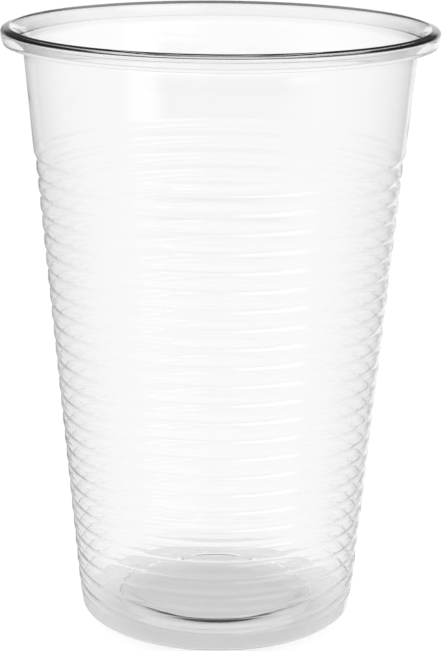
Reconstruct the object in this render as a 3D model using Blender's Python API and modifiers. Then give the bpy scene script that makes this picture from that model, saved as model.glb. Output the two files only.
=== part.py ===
"""A clear plastic disposable cup, thermoformed in one piece from a thin sheet.

The sheet runs from the middle of the pushed-up base, down to the flat ring that the cup stands on,
up the ribbed wall, over a thick rolled rim, and down a short thin skirt. The face of the sheet that
lay on the mould is one profile turned round Z: the underside of the base, the outside of the wall
and the underside of the rim. The sheet's thickness is laid on its other face, and changes along it.
Metres, +Z up, with the origin at the centre of the foot.
"""
import math

import bmesh
import bpy

# Thickness of the sheet: stretched thin in the wall and foot, left thick at the rim and the disc
SKIRT_SHEET = 0.00017
LIP_SHEET = 0.00045
CREST_SHEET = 0.00080
FLARE_SHEET = 0.00048
WALL_SHEET = 0.00018
FOOT_SHEET = 0.00014
DISC_SHEET = 0.00055
FLARE_FADE = 0.0030

# Underside of the rim: heights are from the foot
SKIRT_EDGE_RADIUS = 0.0345
SKIRT_EDGE_HEIGHT = 0.09562
LIP_RADIUS = 0.0351
LIP_HEIGHT = 0.09781
LIP_ROUND_DOWN = 0.00158
LIP_ROUND_IN = 0.00078
LIP_STEPS = 4
LIP_THICKENING_POWER = 3
CREST_RADIUS = 0.03358
CREST_HEIGHT = 0.09732
CREST_ROUND_OUT = 0.00039
CREST_ROUND_IN = 0.00100
CREST_STEPS = 3
FLARE_RADIUS = 0.0315
FLARE_HEIGHT = 0.0947
FLARE_ROUND = 0.00041
FLARE_STEPS = 1

# Smooth band under the rim
BAND_FOOT_RADIUS = 0.0301
BAND_FOOT_HEIGHT = 0.07805

# Ribs: each has an upright land, a slope in to its groove, and a ledge out to the next land
RIB_COUNT = 25
TOP_RIB_RADIUS = 0.0297
FOOT_RIB_RADIUS = 0.0233
RIB_DEPTH = 0.00058
LEDGE_HEIGHT = 0.00072
LAND_SHARE = 0.42

# Foot and pushed-up base
FOOT_BAND_HEIGHT = 0.00284
FOOT_RADIUS = 0.0229
FOOT_ROUND = 0.00060
FOOT_STEPS = 2
DISC_RADIUS = 0.0164
DISC_RISE = 0.0011
DISC_DRAFT = 0.0001
DISC_ROUND = 0.00075
DISC_STEPS = 1

TURN_STEPS = 32
POLE_MERGE = 0.00001
SMOOTH_ANGLE = math.radians(35)
THICKNESS_GROUP = "thickness"
CLEAR_PLASTIC_COLOUR = (0.93, 0.95, 0.95, 1.0)
CLEAR_PLASTIC_ROUGHNESS = 0.08
CLEAR_PLASTIC_IOR = 1.49
FULL_SHARE = 1.0


def mix(start, end, share):
    """The value that lies this share of the way from start to end."""
    return start + (end - start) * share


def towards(start, end, distance):
    """The point that lies this distance from start on the way to end."""
    share = distance / math.dist(start, end)
    return tuple(mix(a, b, share) for a, b in zip(start, end))


def rounded_corner(before, corner, after, lead_in, lead_out, steps):
    """Points (radius, height) along a smooth bend that replaces a sharp corner."""
    start = towards(corner, before, lead_in)
    end = towards(corner, after, lead_out)
    points = []
    for step in range(steps + 1):
        share = step / steps
        on_way_in = [mix(a, b, share) for a, b in zip(start, corner)]
        on_way_out = [mix(a, b, share) for a, b in zip(corner, end)]
        points.append(tuple(mix(a, b, share) for a, b in zip(on_way_in, on_way_out)))
    return points


def rim_points():
    """The skirt's free edge, the lip, the crest, and the flare down to the smooth band.

    Each point is (radius, height, thickness of the sheet there).
    """
    skirt_edge = (SKIRT_EDGE_RADIUS, SKIRT_EDGE_HEIGHT)
    lip = (LIP_RADIUS, LIP_HEIGHT)
    crest = (CREST_RADIUS, CREST_HEIGHT)
    flare = (FLARE_RADIUS, FLARE_HEIGHT)
    band_foot = (BAND_FOOT_RADIUS, BAND_FOOT_HEIGHT)
    lip_bend = rounded_corner(skirt_edge, lip, crest, LIP_ROUND_DOWN, LIP_ROUND_IN, LIP_STEPS)
    crest_bend = rounded_corner(lip, crest, flare, CREST_ROUND_OUT, CREST_ROUND_IN, CREST_STEPS)
    flare_bend = rounded_corner(crest, flare, band_foot, FLARE_ROUND, FLARE_ROUND, FLARE_STEPS)
    points = [(*skirt_edge, SKIRT_SHEET)]
    for step, place in enumerate(lip_bend):
        # The sheet stays thin up the skirt and thickens late, where the lip turns inwards
        share = (step / LIP_STEPS) ** LIP_THICKENING_POWER
        points.append((*place, mix(SKIRT_SHEET, LIP_SHEET, share)))
    points += [(*place, CREST_SHEET) for place in crest_bend]
    points += [(*place, FLARE_SHEET) for place in flare_bend]
    points.append((*towards(flare, band_foot, FLARE_FADE), WALL_SHEET))
    return points


def wall_points():
    """The smooth band's lower end, then each rib's groove, ledge and land, down to the foot band."""
    points = [(BAND_FOOT_RADIUS, BAND_FOOT_HEIGHT, WALL_SHEET)]
    # The first slope starts at the band instead of a land, so the height is a land short of full ribs
    pitch = (BAND_FOOT_HEIGHT - FOOT_BAND_HEIGHT) / (RIB_COUNT - LAND_SHARE)
    land_height = pitch * LAND_SHARE
    for rib in range(RIB_COUNT):
        corner_height = FOOT_BAND_HEIGHT + pitch * (RIB_COUNT - 1 - rib)
        land_radius = mix(TOP_RIB_RADIUS, FOOT_RIB_RADIUS, rib / (RIB_COUNT - 1))
        groove_radius = points[-1][0] - RIB_DEPTH
        points.append((groove_radius, corner_height + LEDGE_HEIGHT, WALL_SHEET))
        points.append((land_radius, corner_height, WALL_SHEET))
        if rib < RIB_COUNT - 1:
            points.append((land_radius, corner_height - land_height, WALL_SHEET))
    return points


def foot_points():
    """The foot's rounded corner, the flat ring it stands on, and the pushed-up disc."""
    wall_foot = (FOOT_RIB_RADIUS, FOOT_BAND_HEIGHT)
    foot = (FOOT_RADIUS, 0)
    ring_inner_edge = (DISC_RADIUS + DISC_DRAFT, 0)
    disc_edge = (DISC_RADIUS, DISC_RISE)
    centre = (0, DISC_RISE)
    foot_bend = rounded_corner(
        wall_foot, foot, ring_inner_edge, FOOT_ROUND, FOOT_ROUND, FOOT_STEPS
    )
    disc_bend = rounded_corner(
        ring_inner_edge, disc_edge, centre, DISC_ROUND, DISC_ROUND, DISC_STEPS
    )
    points = [(*place, FOOT_SHEET) for place in foot_bend]
    points += [(*place, DISC_SHEET) for place in [ring_inner_edge, *disc_bend, centre]]
    return points


def clear_plastic():
    """Clear polypropylene: colourless, glossy, with light passing straight through."""
    material = bpy.data.materials.new("clear_plastic")
    material.use_nodes = True
    shader = material.node_tree.nodes["Principled BSDF"]
    shader.inputs["Base Color"].default_value = CLEAR_PLASTIC_COLOUR
    shader.inputs["Roughness"].default_value = CLEAR_PLASTIC_ROUGHNESS
    shader.inputs["IOR"].default_value = CLEAR_PLASTIC_IOR
    shader.inputs["Transmission Weight"].default_value = FULL_SHARE
    shader.inputs["Metallic"].default_value = 0
    return material


def sheet_profile(name, points):
    """A mesh of one open line in the XZ plane, each vertex weighted with the sheet's thickness."""
    shape = bmesh.new()
    weights = shape.verts.layers.deform.new(THICKNESS_GROUP)
    vertices = []
    for radius, height, thickness in points:
        vertex = shape.verts.new((radius, 0, height))
        vertex[weights][0] = thickness / CREST_SHEET
        vertices.append(vertex)
    for upper, lower in zip(vertices, vertices[1:]):
        shape.edges.new((upper, lower))
    mesh = bpy.data.meshes.new(name)
    shape.to_mesh(mesh)
    shape.free()
    return mesh


def turned_sheet(name, points, collection):
    """Turns the mould face round Z, and lays the sheet's thickness on its other side."""
    cup = bpy.data.objects.new(name, sheet_profile(name, points))
    collection.objects.link(cup)
    cup.vertex_groups.new(name=THICKNESS_GROUP)
    turn = cup.modifiers.new("turn", "SCREW")
    turn.axis = "Z"
    turn.angle = math.tau
    turn.steps = TURN_STEPS
    turn.render_steps = TURN_STEPS
    turn.use_merge_vertices = True
    turn.merge_threshold = POLE_MERGE
    turn.use_smooth_shade = True
    sheet = cup.modifiers.new("sheet", "SOLIDIFY")
    sheet.thickness = CREST_SHEET
    sheet.offset = -FULL_SHARE
    sheet.vertex_group = THICKNESS_GROUP
    sheet.use_even_offset = True
    sheet.use_rim = True
    return cup


def applied(cup):
    """Gives the object its turned and thickened mesh, shaded smooth with sharp rib edges."""
    graph = bpy.context.evaluated_depsgraph_get()
    mesh = bpy.data.meshes.new_from_object(cup.evaluated_get(graph))
    old_mesh = cup.data
    cup.modifiers.clear()
    cup.vertex_groups.clear()
    cup.data = mesh
    bpy.data.meshes.remove(old_mesh)
    mesh.name = cup.name
    mesh.shade_smooth()
    mesh.set_sharp_from_angle(angle=SMOOTH_ANGLE)
    return cup


def main():
    for old in list(bpy.data.objects):
        bpy.data.objects.remove(old)
    collection = bpy.data.collections.new("disposable_cup")
    bpy.context.scene.collection.children.link(collection)
    points = rim_points() + wall_points() + foot_points()
    cup = applied(turned_sheet("cup", points, collection))
    cup.data.materials.append(clear_plastic())
    print(f"{len(points)} profile points, {len(cup.data.polygons)} faces")


main()
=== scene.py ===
# %% [markdown]
# # A clear disposable cup
#
# The cup is one sheet of clear plastic, about a fifth of a millimetre thick, that was heated and
# drawn into a ribbed mould. Its look comes almost only from its shape: each rib, the rolled rim and
# the pushed-up base bend and mirror the light of a white studio. So this lesson spends its effort on
# a true cross-section, on a thin wall with two real faces, and on what there is to see through it.
#
# A plainer cup was built and measured before this one. It is loaded first, as the frame, and the
# finer cup made here takes its place and stays inside its box.

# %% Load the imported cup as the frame
import math

import bmesh
import bpy
from mathutils import Matrix


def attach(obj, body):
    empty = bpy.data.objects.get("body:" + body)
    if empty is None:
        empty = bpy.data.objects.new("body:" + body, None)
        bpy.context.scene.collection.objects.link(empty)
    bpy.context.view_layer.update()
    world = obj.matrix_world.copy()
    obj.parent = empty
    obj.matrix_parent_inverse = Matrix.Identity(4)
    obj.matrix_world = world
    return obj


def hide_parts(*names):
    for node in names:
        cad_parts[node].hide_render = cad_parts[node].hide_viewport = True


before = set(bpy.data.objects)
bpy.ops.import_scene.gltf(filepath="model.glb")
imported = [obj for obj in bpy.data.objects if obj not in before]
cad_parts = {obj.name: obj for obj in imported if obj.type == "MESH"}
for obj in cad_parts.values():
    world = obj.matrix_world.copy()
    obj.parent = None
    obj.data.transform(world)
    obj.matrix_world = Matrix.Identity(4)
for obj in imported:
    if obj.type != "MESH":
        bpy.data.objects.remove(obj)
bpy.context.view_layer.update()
print("nodes of the plain cup:", list(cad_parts))

# %% [markdown]
# ## The sizes
#
# These repeat the sizes that the plain cup was built with, in metres. Each pair is a radius and a
# height, on the side of the sheet that lay on the mould: the underside of the base, the outside of
# the wall and the underside of the rim.
#
# Two places differ a little. The plain cup's coarser bends cut the rim's corners, so here the lip
# and crest are a hundredth or two of a millimetre thinner, and the lip's corner is a hundredth
# further in, which keeps the finer rim inside the plain one's box. And the sheet is thinner in the
# step up to the disc of the base, with a softer shoulder, because a thick step shows as a dark and
# broken line.

# %% Name the cup's sizes
SKIRT_SHEET = 0.00017
LIP_SHEET = 0.00044
CREST_SHEET = 0.00078
FLARE_SHEET = 0.00048
WALL_SHEET = 0.00018
FOOT_SHEET = 0.00014
STEP_SHEET = 0.00020
DISC_SHEET = 0.00055
FLARE_FADE = 0.0030

SKIRT_EDGE = (0.0345, 0.09562)
LIP = (0.03509, 0.09781)
LIP_ROUND_DOWN = 0.00158
LIP_ROUND_IN = 0.00078
CREST = (0.03358, 0.09732)
CREST_ROUND_OUT = 0.00039
CREST_ROUND_IN = 0.00100
FLARE = (0.0315, 0.0947)
FLARE_ROUND = 0.00041
BAND_FOOT = (0.0301, 0.07805)

RIB_COUNT = 25
TOP_RIB_RADIUS = 0.0297
FOOT_RIB_RADIUS = 0.0233
RIB_DEPTH = 0.00058
LEDGE_HEIGHT = 0.00072
LAND_SHARE = 0.42
FOOT_BAND_HEIGHT = 0.00284
FOOT_RADIUS = 0.0229
DISC_RADIUS = 0.0164
DISC_RISE = 0.0011
DISC_DRAFT = 0.0001
SHOULDER_DOWN = 0.00076
SHOULDER_IN = 0.0026
print(f"sheet: {WALL_SHEET * 1000:.2f} mm thick in the wall, {CREST_SHEET * 1000:.2f} at the rim")

# %% [markdown]
# ## The cross-section
#
# A turned shape is its cross-section swept round an axis. The cross-section here is the sheet's
# mould side, as one open line, and each point of it carries the sheet's thickness there. The sheet
# was clamped at the rim, so it stayed thick, and was stretched thin over the rest. A thick bend in
# clear plastic pipes light round it and looks dark, so the rim's thickness decides its two dark lines.
#
# The rim has three bends: the lip, which turns in from the hanging skirt, the crest, which turns
# down into the cup, and the flare, which turns down to the smooth band.

# %% Lay the line of the rim
BEND_STEPS = 10
THICKENING_POWER = 3


def mix(start, end, share):
    return start + (end - start) * share


def towards(start, end, distance):
    share = distance / math.dist(start, end)
    return tuple(mix(a, b, share) for a, b in zip(start, end))


def bend(before, corner, after, lead_in, lead_out, sheets):
    """A smooth bend in place of a corner, as (radius, height, thickness) points."""
    start = towards(corner, before, lead_in)
    end = towards(corner, after, lead_out)
    points = []
    for step in range(BEND_STEPS + 1):
        share = step / BEND_STEPS
        way_in = [mix(a, b, share) for a, b in zip(start, corner)]
        way_out = [mix(a, b, share) for a, b in zip(corner, end)]
        place = [mix(a, b, share) for a, b in zip(way_in, way_out)]
        # The sheet changes its thickness late in the bend, where it was stretched least
        points.append((*place, mix(*sheets, share**THICKENING_POWER)))
    return points


rim_line = [(*SKIRT_EDGE, SKIRT_SHEET)]
rim_line += bend(SKIRT_EDGE, LIP, CREST, LIP_ROUND_DOWN, LIP_ROUND_IN, (SKIRT_SHEET, LIP_SHEET))
rim_line += bend(LIP, CREST, FLARE, CREST_ROUND_OUT, CREST_ROUND_IN, (CREST_SHEET, CREST_SHEET))
rim_line += bend(CREST, FLARE, BAND_FOOT, FLARE_ROUND, FLARE_ROUND, (FLARE_SHEET, FLARE_SHEET))
rim_line.append((*towards(FLARE, BAND_FOOT, FLARE_FADE), WALL_SHEET))
print(f"rim: {len(rim_line)} points")

# %% [markdown]
# Each rib is an upright land, a slope that leans in towards the groove under it, and a short ledge
# that steps out to the next land. Twenty-five of them stack down the wall on an even pitch, so a
# loop lays them, with three points to a rib.

# %% Lay the line of the ribbed wall
wall_line = [(*BAND_FOOT, WALL_SHEET)]
pitch = (BAND_FOOT[1] - FOOT_BAND_HEIGHT) / (RIB_COUNT - LAND_SHARE)
for rib in range(RIB_COUNT):
    corner_height = FOOT_BAND_HEIGHT + pitch * (RIB_COUNT - 1 - rib)
    land_radius = mix(TOP_RIB_RADIUS, FOOT_RIB_RADIUS, rib / (RIB_COUNT - 1))
    wall_line.append((wall_line[-1][0] - RIB_DEPTH, corner_height + LEDGE_HEIGHT, WALL_SHEET))
    wall_line.append((land_radius, corner_height, WALL_SHEET))
    if rib < RIB_COUNT - 1:
        wall_line.append((land_radius, corner_height - pitch * LAND_SHARE, WALL_SHEET))
print(f"wall: {RIB_COUNT} ribs, {pitch * 1000:.2f} mm apart")

# %% [markdown]
# The base is pushed up into a shallow disc inside the flat ring that the cup stands on. The sheet is
# thin in the step up to the disc and thickens again over the disc's soft shoulder, so the step shows
# one dark line at the front and only a soft edge at the back.

# %% Lay the line of the foot and the pushed-up base
foot = (FOOT_RADIUS, 0)
ring_edge = (DISC_RADIUS + DISC_DRAFT, 0)
disc_edge = (DISC_RADIUS, DISC_RISE)
centre = (0, DISC_RISE)
sheets = (STEP_SHEET, DISC_SHEET)
shoulder = bend(ring_edge, disc_edge, centre, SHOULDER_DOWN, SHOULDER_IN, sheets)
foot_line = [(*foot, FOOT_SHEET), (*ring_edge, STEP_SHEET), *shoulder, (*centre, DISC_SHEET)]
print(f"foot and base: {len(foot_line)} points")

# %% [markdown]
# The three stretches become one line of vertices and edges, from the skirt's free edge to the middle
# of the base. A vertex can't hold a thickness, but it can hold a weight from 0 to 1 in a vertex
# group, so each gets its thickness as a share of the crest's, which is the thickest.

# %% Join the points into one line
cup_mesh = bmesh.new()
weights = cup_mesh.verts.layers.deform.verify()


def line_vertices(points):
    vertices = []
    for radius, height, sheet in points:
        vertex = cup_mesh.verts.new((radius, 0, height))
        vertex[weights][0] = sheet / CREST_SHEET
        vertices.append(vertex)
    return vertices


wall_vertices = line_vertices(wall_line)
foot_vertices = line_vertices(foot_line)
line = line_vertices(rim_line) + wall_vertices + foot_vertices
for upper, lower in zip(line, line[1:]):
    cup_mesh.edges.new((upper, lower))
print(f"line: {len(cup_mesh.edges)} edges")

# %% [markdown]
# A stretched sheet can't follow a mould into a sharp corner, so every corner of the wall has a small
# radius. Air pressed the lands hard against the mould, which leaves their top corners the sharpest,
# and the grooves soft, a little less so at the foot. Bevelling the corner points of the line, before
# it is swept, rounds them all at once.

# %% Round the corners of the wall and foot
LAND_TOP_SOFTNESS = 0.00012
LAND_FOOT_SOFTNESS = 0.00035
GROOVE_SOFTNESS = 0.00045
LOW_GROOVE_SOFTNESS = 0.00034
LOW_GROOVES = 5
RIB_SEGMENTS = 3
FOOT_SOFTNESS = 0.00030
RING_SOFTNESS = 0.00020
FOOT_SEGMENTS = 5


def round_corners(vertices, softness, segments):
    bmesh.ops.bevel(
        cup_mesh,
        geom=vertices,
        offset=softness,
        offset_type="OFFSET",
        segments=segments,
        profile=0.5,
        affect="VERTICES",
        material=-1,
        clamp_overlap=True,
    )


land_feet, grooves, land_tops = wall_vertices[0::3], wall_vertices[1::3], wall_vertices[2::3]
round_corners(grooves[:-LOW_GROOVES], GROOVE_SOFTNESS, RIB_SEGMENTS)
round_corners(grooves[-LOW_GROOVES:], LOW_GROOVE_SOFTNESS, RIB_SEGMENTS)
round_corners(land_feet, LAND_FOOT_SOFTNESS, RIB_SEGMENTS)
round_corners(land_tops, LAND_TOP_SOFTNESS, RIB_SEGMENTS)
round_corners(foot_vertices[:1], FOOT_SOFTNESS, FOOT_SEGMENTS)
round_corners(foot_vertices[1:2], RING_SOFTNESS, FOOT_SEGMENTS)
print(f"line: {len(cup_mesh.verts)} points after rounding")

# %% [markdown]
# ## The turned sheet
#
# A full spin sweeps the line round the axis and joins the last step to the first. The middle of the
# base is then a heap of points in one place, which are merged. Spin doesn't care which way its faces
# look, so the normals are made to agree and then turned to the mould side, while the sheet still has
# only that one side.

# %% Sweep the line round the axis
TURN_STEPS = 136
MERGE_DISTANCE = 0.000002
bmesh.ops.spin(
    cup_mesh,
    geom=cup_mesh.verts[:] + cup_mesh.edges[:],
    cent=(0, 0, 0),
    axis=(0, 0, 1),
    angle=math.tau,
    steps=TURN_STEPS,
    use_merge=True,
)
bmesh.ops.remove_doubles(cup_mesh, verts=cup_mesh.verts, dist=MERGE_DISTANCE)
bmesh.ops.recalc_face_normals(cup_mesh, faces=cup_mesh.faces)
underside = min(cup_mesh.faces, key=lambda face: face.calc_center_median().z)
if underside.normal.z > 0:
    bmesh.ops.reverse_faces(cup_mesh, faces=cup_mesh.faces)
print(f"swept sheet: {len(cup_mesh.faces)} faces")

# %% [markdown]
# The thickness goes on the other side of the sheet, each point's own share of the thickest. Flat
# strips stay flat to the light because the large faces decide how the small ones beside them shade.
# Light then has two faces to cross in every wall, as in real plastic, and needs no trick to pass.

# %% Give the sheet its thickness
LARGE_FACES_DECIDE = 100
cup_data = bpy.data.meshes.new("clear_cup")
cup_mesh.to_mesh(cup_data)
cup_mesh.free()
cup_data.shade_smooth()
cup = bpy.data.objects.new("clear_cup", cup_data)
bpy.context.scene.collection.objects.link(cup)
cup.vertex_groups.new(name="thickness")
thickness = cup.modifiers.new("thickness", "SOLIDIFY")
thickness.thickness = CREST_SHEET
thickness.offset = -1
thickness.vertex_group = "thickness"
thickness.use_even_offset = True
shading = cup.modifiers.new("shading", "WEIGHTED_NORMAL")
shading.mode = "FACE_AREA"
shading.weight = LARGE_FACES_DECIDE
graph = bpy.context.evaluated_depsgraph_get()
solid_data = bpy.data.meshes.new_from_object(cup.evaluated_get(graph))
cup.modifiers.clear()
cup.vertex_groups.clear()
cup.data = solid_data
bpy.data.meshes.remove(cup_data)
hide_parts("cup")
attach(cup, "root")
print(f"clear cup: {sum(len(f.vertices) - 2 for f in cup.data.polygons)} triangles")

# %% [markdown]
# ## The plastic
#
# The cup is clear polypropylene, thermoformed from a cast sheet. The mould gives it a gloss, and it
# has hardly any colour of its own, so its base colour is almost white and light passes straight
# through. Two faint marks of how it was made keep it from looking like glass. The hot sheet stretched
# unevenly, which leaves shallow waves that make each mirrored light waver, and the plastic's fine
# crystals leave a haze that comes and goes every few millimetres.

# %% Make the clear polypropylene
PLASTIC_COLOUR = "FEFEFE"
PLASTIC_IOR = 1.49
WAVE_WIDTH = 0.012
WAVE_HEIGHT = 0.005
WAVE_DEPTH = 0.00006
WAVE_DETAIL = 2
WAVE_ROUGHNESS = 0.4
HAZE_WIDTH = 0.004
HAZE_DETAIL = 3
# The noise is hardly ever lower or higher than these
NOISE_LOW = 0.3
NOISE_HIGH = 0.7
GLOSS_CLEAR = 0.012
GLOSS_HAZED = 0.030


def linear(hex_colour):
    """sRGB hex, such as "F4F8F8", as linear RGBA, by the sRGB curve."""
    parts = [int(hex_colour[i : i + 2], 16) / 255 for i in (0, 2, 4)]
    return [p / 12.92 if p <= 0.04045 else ((p + 0.055) / 1.055) ** 2.4 for p in parts] + [1]


def add_node(tree, kind, settings=None, values=None, links=None):
    """Adds one node: its properties, its sockets' values, and links from other nodes' outputs."""
    node = tree.nodes.new(kind)
    for name, value in (settings or {}).items():
        setattr(node, name, value)
    for name, value in (values or {}).items():
        node.inputs[name].default_value = value
    for name, output in (links or {}).items():
        tree.links.new(output, node.inputs[name])
    return node


plastic = bpy.data.materials.new("clear_polypropylene")
plastic.use_nodes = True
tree = plastic.node_tree
shader = tree.nodes["Principled BSDF"]
shader.inputs["Base Color"].default_value = linear(PLASTIC_COLOUR)
shader.inputs["IOR"].default_value = PLASTIC_IOR
shader.inputs["Transmission Weight"].default_value = 1

place = add_node(tree, "ShaderNodeTexCoord").outputs["Object"]
stretched = add_node(
    tree,
    "ShaderNodeMapping",
    None,
    {"Scale": (1 / WAVE_WIDTH, 1 / WAVE_WIDTH, 1 / WAVE_HEIGHT)},
    {"Vector": place},
)
waves = add_node(
    tree,
    "ShaderNodeTexNoise",
    None,
    {"Scale": 1, "Detail": WAVE_DETAIL, "Roughness": WAVE_ROUGHNESS},
    {"Vector": stretched.outputs["Vector"]},
)
ripple = add_node(
    tree,
    "ShaderNodeBump",
    None,
    {"Strength": 1, "Distance": WAVE_DEPTH},
    {"Height": waves.outputs["Fac"]},
)
tree.links.new(ripple.outputs["Normal"], shader.inputs["Normal"])
haze = add_node(
    tree,
    "ShaderNodeTexNoise",
    None,
    {"Scale": 1 / HAZE_WIDTH, "Detail": HAZE_DETAIL},
    {"Vector": place},
)
gloss = add_node(
    tree,
    "ShaderNodeMapRange",
    None,
    {
        "From Min": NOISE_LOW,
        "From Max": NOISE_HIGH,
        "To Min": GLOSS_CLEAR,
        "To Max": GLOSS_HAZED,
    },
    {"Value": haze.outputs["Fac"]},
)
tree.links.new(gloss.outputs["Result"], shader.inputs["Roughness"])
cup.data.materials.clear()
cup.data.materials.append(plastic)
print(f"plastic: waves {WAVE_WIDTH * 1000:.0f} mm wide, haze every {HAZE_WIDTH * 1000:.0f} mm")

# %% [markdown]
# ## The floor
#
# The cup stands on a white table that is lit from under and from behind, as products are for a
# catalogue. The table is so wide that no edge of it shows, and it lies a hair under the cup, so that
# the two don't fight for the same place.

# %% Lay the floor
FLOOR_HALF = 3.0
FLOOR_DROP = 0.00005

floor_mesh = bmesh.new()
bmesh.ops.create_grid(floor_mesh, x_segments=1, y_segments=1, size=FLOOR_HALF)
bmesh.ops.translate(floor_mesh, vec=(0, 0, -FLOOR_DROP), verts=floor_mesh.verts)
floor_data = bpy.data.meshes.new("floor")
floor_mesh.to_mesh(floor_data)
floor_mesh.free()
floor = bpy.data.objects.new("floor", floor_data)
bpy.context.scene.collection.objects.link(floor)
print(f"floor: {FLOOR_HALF * 2:.0f} m square")

# %% [markdown]
# The floor's paint blends two whites by the distance from a point 6 mm in front of the cup's middle.
# One glows evenly. The other glows less and makes up the rest by answering to the light that falls
# on it, so it darkens where the cup really takes light away. The reach of that shade is painted: the
# mask lets the cup's shadow show only under the cup and a little towards the front, and beyond it the
# floor is painted an even white, so there is no halo round it. Light that the plastic has mirrored on
# its way sees the dimmer room instead of this floor, or the cup would vanish into the white. Light
# Path's Glossy Depth counts how often a ray was mirrored.

# %% Paint the floor white
FLOOR_GLOW = 0.62
FLOOR_SHADED = 0.40
SHADE_CENTRE = (0, -0.006, 0)
SHADE_FULL = 0.014
SHADE_END = 0.0235
LESS_THAN_ONCE = 0.5


def never_mirrored(tree):
    """1 for a ray that nothing has mirrored on its way, and 0 for any other."""
    path = add_node(tree, "ShaderNodeLightPath")
    count = {0: path.outputs["Glossy Depth"]}
    test = add_node(tree, "ShaderNodeMath", {"operation": "LESS_THAN"}, {1: LESS_THAN_ONCE}, count)
    return test.outputs[0]


paint = bpy.data.materials.new("white_backdrop")
paint.use_nodes = True
tree = paint.node_tree
tree.nodes.clear()
place = add_node(tree, "ShaderNodeTexCoord").outputs["Object"]
spread = add_node(
    tree, "ShaderNodeVectorMath", {"operation": "DISTANCE"}, {1: SHADE_CENTRE}, {0: place}
)
# Painted shade: this mask, centred 6 mm in front of the cup's middle, sets where the cup's shadow may
# show. Beyond it the floor is painted an even white.
painted_shade_reach = add_node(
    tree,
    "ShaderNodeMapRange",
    {"interpolation_type": "SMOOTHSTEP"},
    {"From Min": SHADE_FULL, "From Max": SHADE_END, "To Min": 1, "To Max": 0},
    {"Value": spread.outputs["Value"]},
)
diffuse = add_node(tree, "ShaderNodeBsdfDiffuse", None, {"Color": (FLOOR_SHADED,) * 3 + (1,)})
glow = add_node(tree, "ShaderNodeEmission", None, {"Strength": FLOOR_GLOW})
shaded = add_node(
    tree, "ShaderNodeAddShader", None, None, {0: diffuse.outputs[0], 1: glow.outputs[0]}
)
even = add_node(tree, "ShaderNodeEmission", None, {"Strength": FLOOR_GLOW + FLOOR_SHADED})
white = add_node(
    tree,
    "ShaderNodeMixShader",
    None,
    None,
    {0: painted_shade_reach.outputs[0], 1: even.outputs[0], 2: shaded.outputs[0]},
)
unseen = add_node(tree, "ShaderNodeBsdfTransparent")
blend = add_node(
    tree,
    "ShaderNodeMixShader",
    None,
    None,
    {0: never_mirrored(tree), 1: unseen.outputs[0], 2: white.outputs[0]},
)
add_node(tree, "ShaderNodeOutputMaterial", None, None, {"Surface": blend.outputs[0]})
floor.data.materials.append(paint)
print(f"shade under the cup: full to {SHADE_FULL * 1000:.1f} mm from its centre")

# %% [markdown]
# ## The light
#
# The studio is a plain white world. What the plastic mirrors is the room round the table, and clear
# plastic is drawn almost wholly by it: the sides of the cup take the grey of the walls, the rim takes
# its dark lines from the dark ceiling, and two lights behind the camera, to the right, leave the soft
# column on the smooth band and the rows of light on the ribs. Each part of the room is one row of a
# table: how bright it is, then the bearings and the heights, in degrees, over which it fades in and
# out. A bearing of 0 is straight ahead of the camera and 90 is to its right.

# %% Describe the room that the plastic mirrors
PLAIN_LEVEL = 0.62
EVERY_BEARING = None
EVERY_HEIGHT = None
ROOM = {
    "wall left of the backdrop": (0.53, (-85, -60, -14, -8), EVERY_HEIGHT),
    "wall right of the backdrop": (0.58, (26, 34, 60, 85), EVERY_HEIGHT),
    "lit backdrop": (1.0, (-12, -6, 26, 32), (-90, -89, 8, 13)),
    "dark above the backdrop": (0.12, (-90, -60, 60, 90), (8, 13, 35, 55)),
    "dark ceiling": (0.15, EVERY_BEARING, (35, 55, 89, 90)),
    "lit table": (0.85, EVERY_BEARING, (-90, -89, -60, -30)),
    "dark behind, right": (0.12, (120, 150, 180, 181), (-15, -12, 3, 4.5)),
    "dark behind, left": (0.12, (-181, -180, -150, -120), (-15, -12, 3, 4.5)),
    "window": (1.45, (115, 125, 133, 147), (-8, -1, 14, 27)),
    "soft box": (1.55, (122, 138, 158, 176), (3, 7, 20, 37)),
}
print(f"room: {len(ROOM)} parts over a plain level of {PLAIN_LEVEL}")

# %% [markdown]
# A world has no shapes, only a light for each direction. So each part of the room is a mask, which
# is 1 in the part's directions, 0 outside them, and soft in between. A direction's X and Y give its
# bearing, and its Z is the sine of its height. Going down the table, each mask moves the level
# towards its part's brightness, so a later row covers an earlier one. A ray that nothing has
# mirrored gets plain white in the end, and that is also what the cup is seen against.

# %% Light the world
WHITE = 1.0
world = bpy.data.worlds.new("studio")
bpy.context.scene.world = world
world.use_nodes = True
tree = world.node_tree
tree.nodes.clear()


def between(value, limits):
    """1 inside the limits, with a soft edge at both ends, and 0 outside."""
    in_start, in_end, out_start, out_end = limits
    edges = []
    for start, end, before, after in ((in_start, in_end, 0, 1), (out_start, out_end, 1, 0)):
        edge = add_node(
            tree,
            "ShaderNodeMapRange",
            {"interpolation_type": "SMOOTHSTEP"},
            {"From Min": start, "From Max": end, "To Min": before, "To Max": after},
            {"Value": value},
        )
        edges.append(edge.outputs["Result"])
    inside = add_node(
        tree, "ShaderNodeMath", {"operation": "MULTIPLY"}, None, {0: edges[0], 1: edges[1]}
    )
    return inside.outputs[0]


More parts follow.
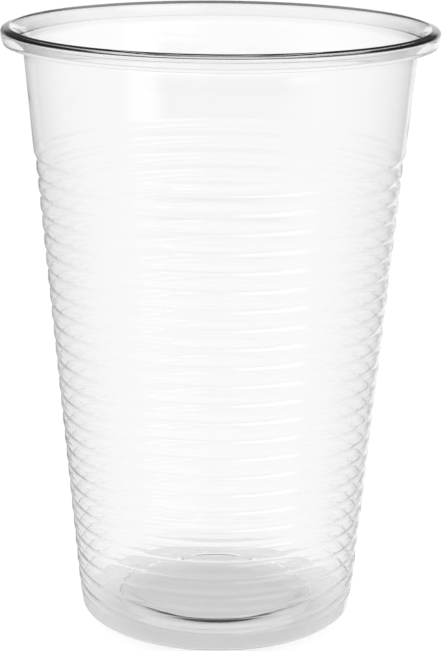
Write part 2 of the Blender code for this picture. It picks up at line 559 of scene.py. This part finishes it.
direction = add_node(tree, "ShaderNodeTexCoord").outputs["Generated"]
parts = add_node(tree, "ShaderNodeSeparateXYZ", None, None, {0: direction})
sides = {0: parts.outputs["X"], 1: parts.outputs["Y"]}
turned = add_node(tree, "ShaderNodeMath", {"operation": "ARCTAN2"}, None, sides)
bearing = add_node(
    tree,
    "ShaderNodeMath",
    {"operation": "MULTIPLY"},
    {1: math.degrees(1)},
    {0: turned.outputs[0]},
)
level = None
for brightness, bearings, heights in ROOM.values():
    masks = []
    if bearings:
        masks.append(between(bearing.outputs[0], bearings))
    if heights:
        sines = [math.sin(math.radians(angle)) for angle in heights]
        masks.append(between(parts.outputs["Z"], sines))
    # A row with one mask keeps the second socket's value of 1
    inside = add_node(
        tree, "ShaderNodeMath", {"operation": "MULTIPLY"}, {1: 1}, dict(enumerate(masks))
    )
    links = {"Factor": inside.outputs[0]}
    if level is not None:
        links["A"] = level
    levels = {"A": PLAIN_LEVEL, "B": brightness}
    level = add_node(tree, "ShaderNodeMix", {"data_type": "FLOAT"}, levels, links).outputs["Result"]
shade = add_node(
    tree,
    "ShaderNodeMix",
    {"data_type": "FLOAT"},
    {"B": WHITE},
    {"Factor": never_mirrored(tree), "A": level},
)
sky = add_node(
    tree,
    "ShaderNodeBackground",
    None,
    {"Color": (WHITE, WHITE, WHITE, 1)},
    {"Strength": shade.outputs["Result"]},
)
add_node(tree, "ShaderNodeOutputWorld", None, None, {"Surface": sky.outputs[0]})
print(f"world: {len(tree.nodes)} nodes")

# %% [markdown]
# ## The camera
#
# The photograph looks down on the cup from close by, so its rim shows as a wide oval and its base as
# a smaller, rounder one. The camera's place, tilt and lens were worked out from the ovals of the rim,
# the ribs and the foot.

# %% Place the camera
CAMERA_PLACE = (0, -0.3154, 0.13789)
CAMERA_DOWN = math.radians(15.86)
CAMERA_RIGHT = math.radians(0.082)
CAMERA_ROLL = math.radians(0.51)
SENSOR = 36
FRAME_HEIGHT_PIXELS = 651
FOCAL_PIXELS = 1970.76
camera_data = bpy.data.cameras.new("camera")
camera_data.sensor_width = SENSOR
camera_data.lens = SENSOR * FOCAL_PIXELS / FRAME_HEIGHT_PIXELS
camera = bpy.data.objects.new("camera", camera_data)
bpy.context.scene.collection.objects.link(camera)
camera.location = CAMERA_PLACE
turn = (
    Matrix.Rotation(-CAMERA_RIGHT, 4, "Z")
    @ Matrix.Rotation(math.pi / 2 - CAMERA_DOWN, 4, "X")
    @ Matrix.Rotation(CAMERA_ROLL, 4, "Z")
)
camera.rotation_euler = turn.to_euler()
bpy.context.scene.camera = camera
bpy.context.scene.view_settings.view_transform = "Standard"
print(f"lens {camera_data.lens:.1f} mm on a {SENSOR} mm sensor")
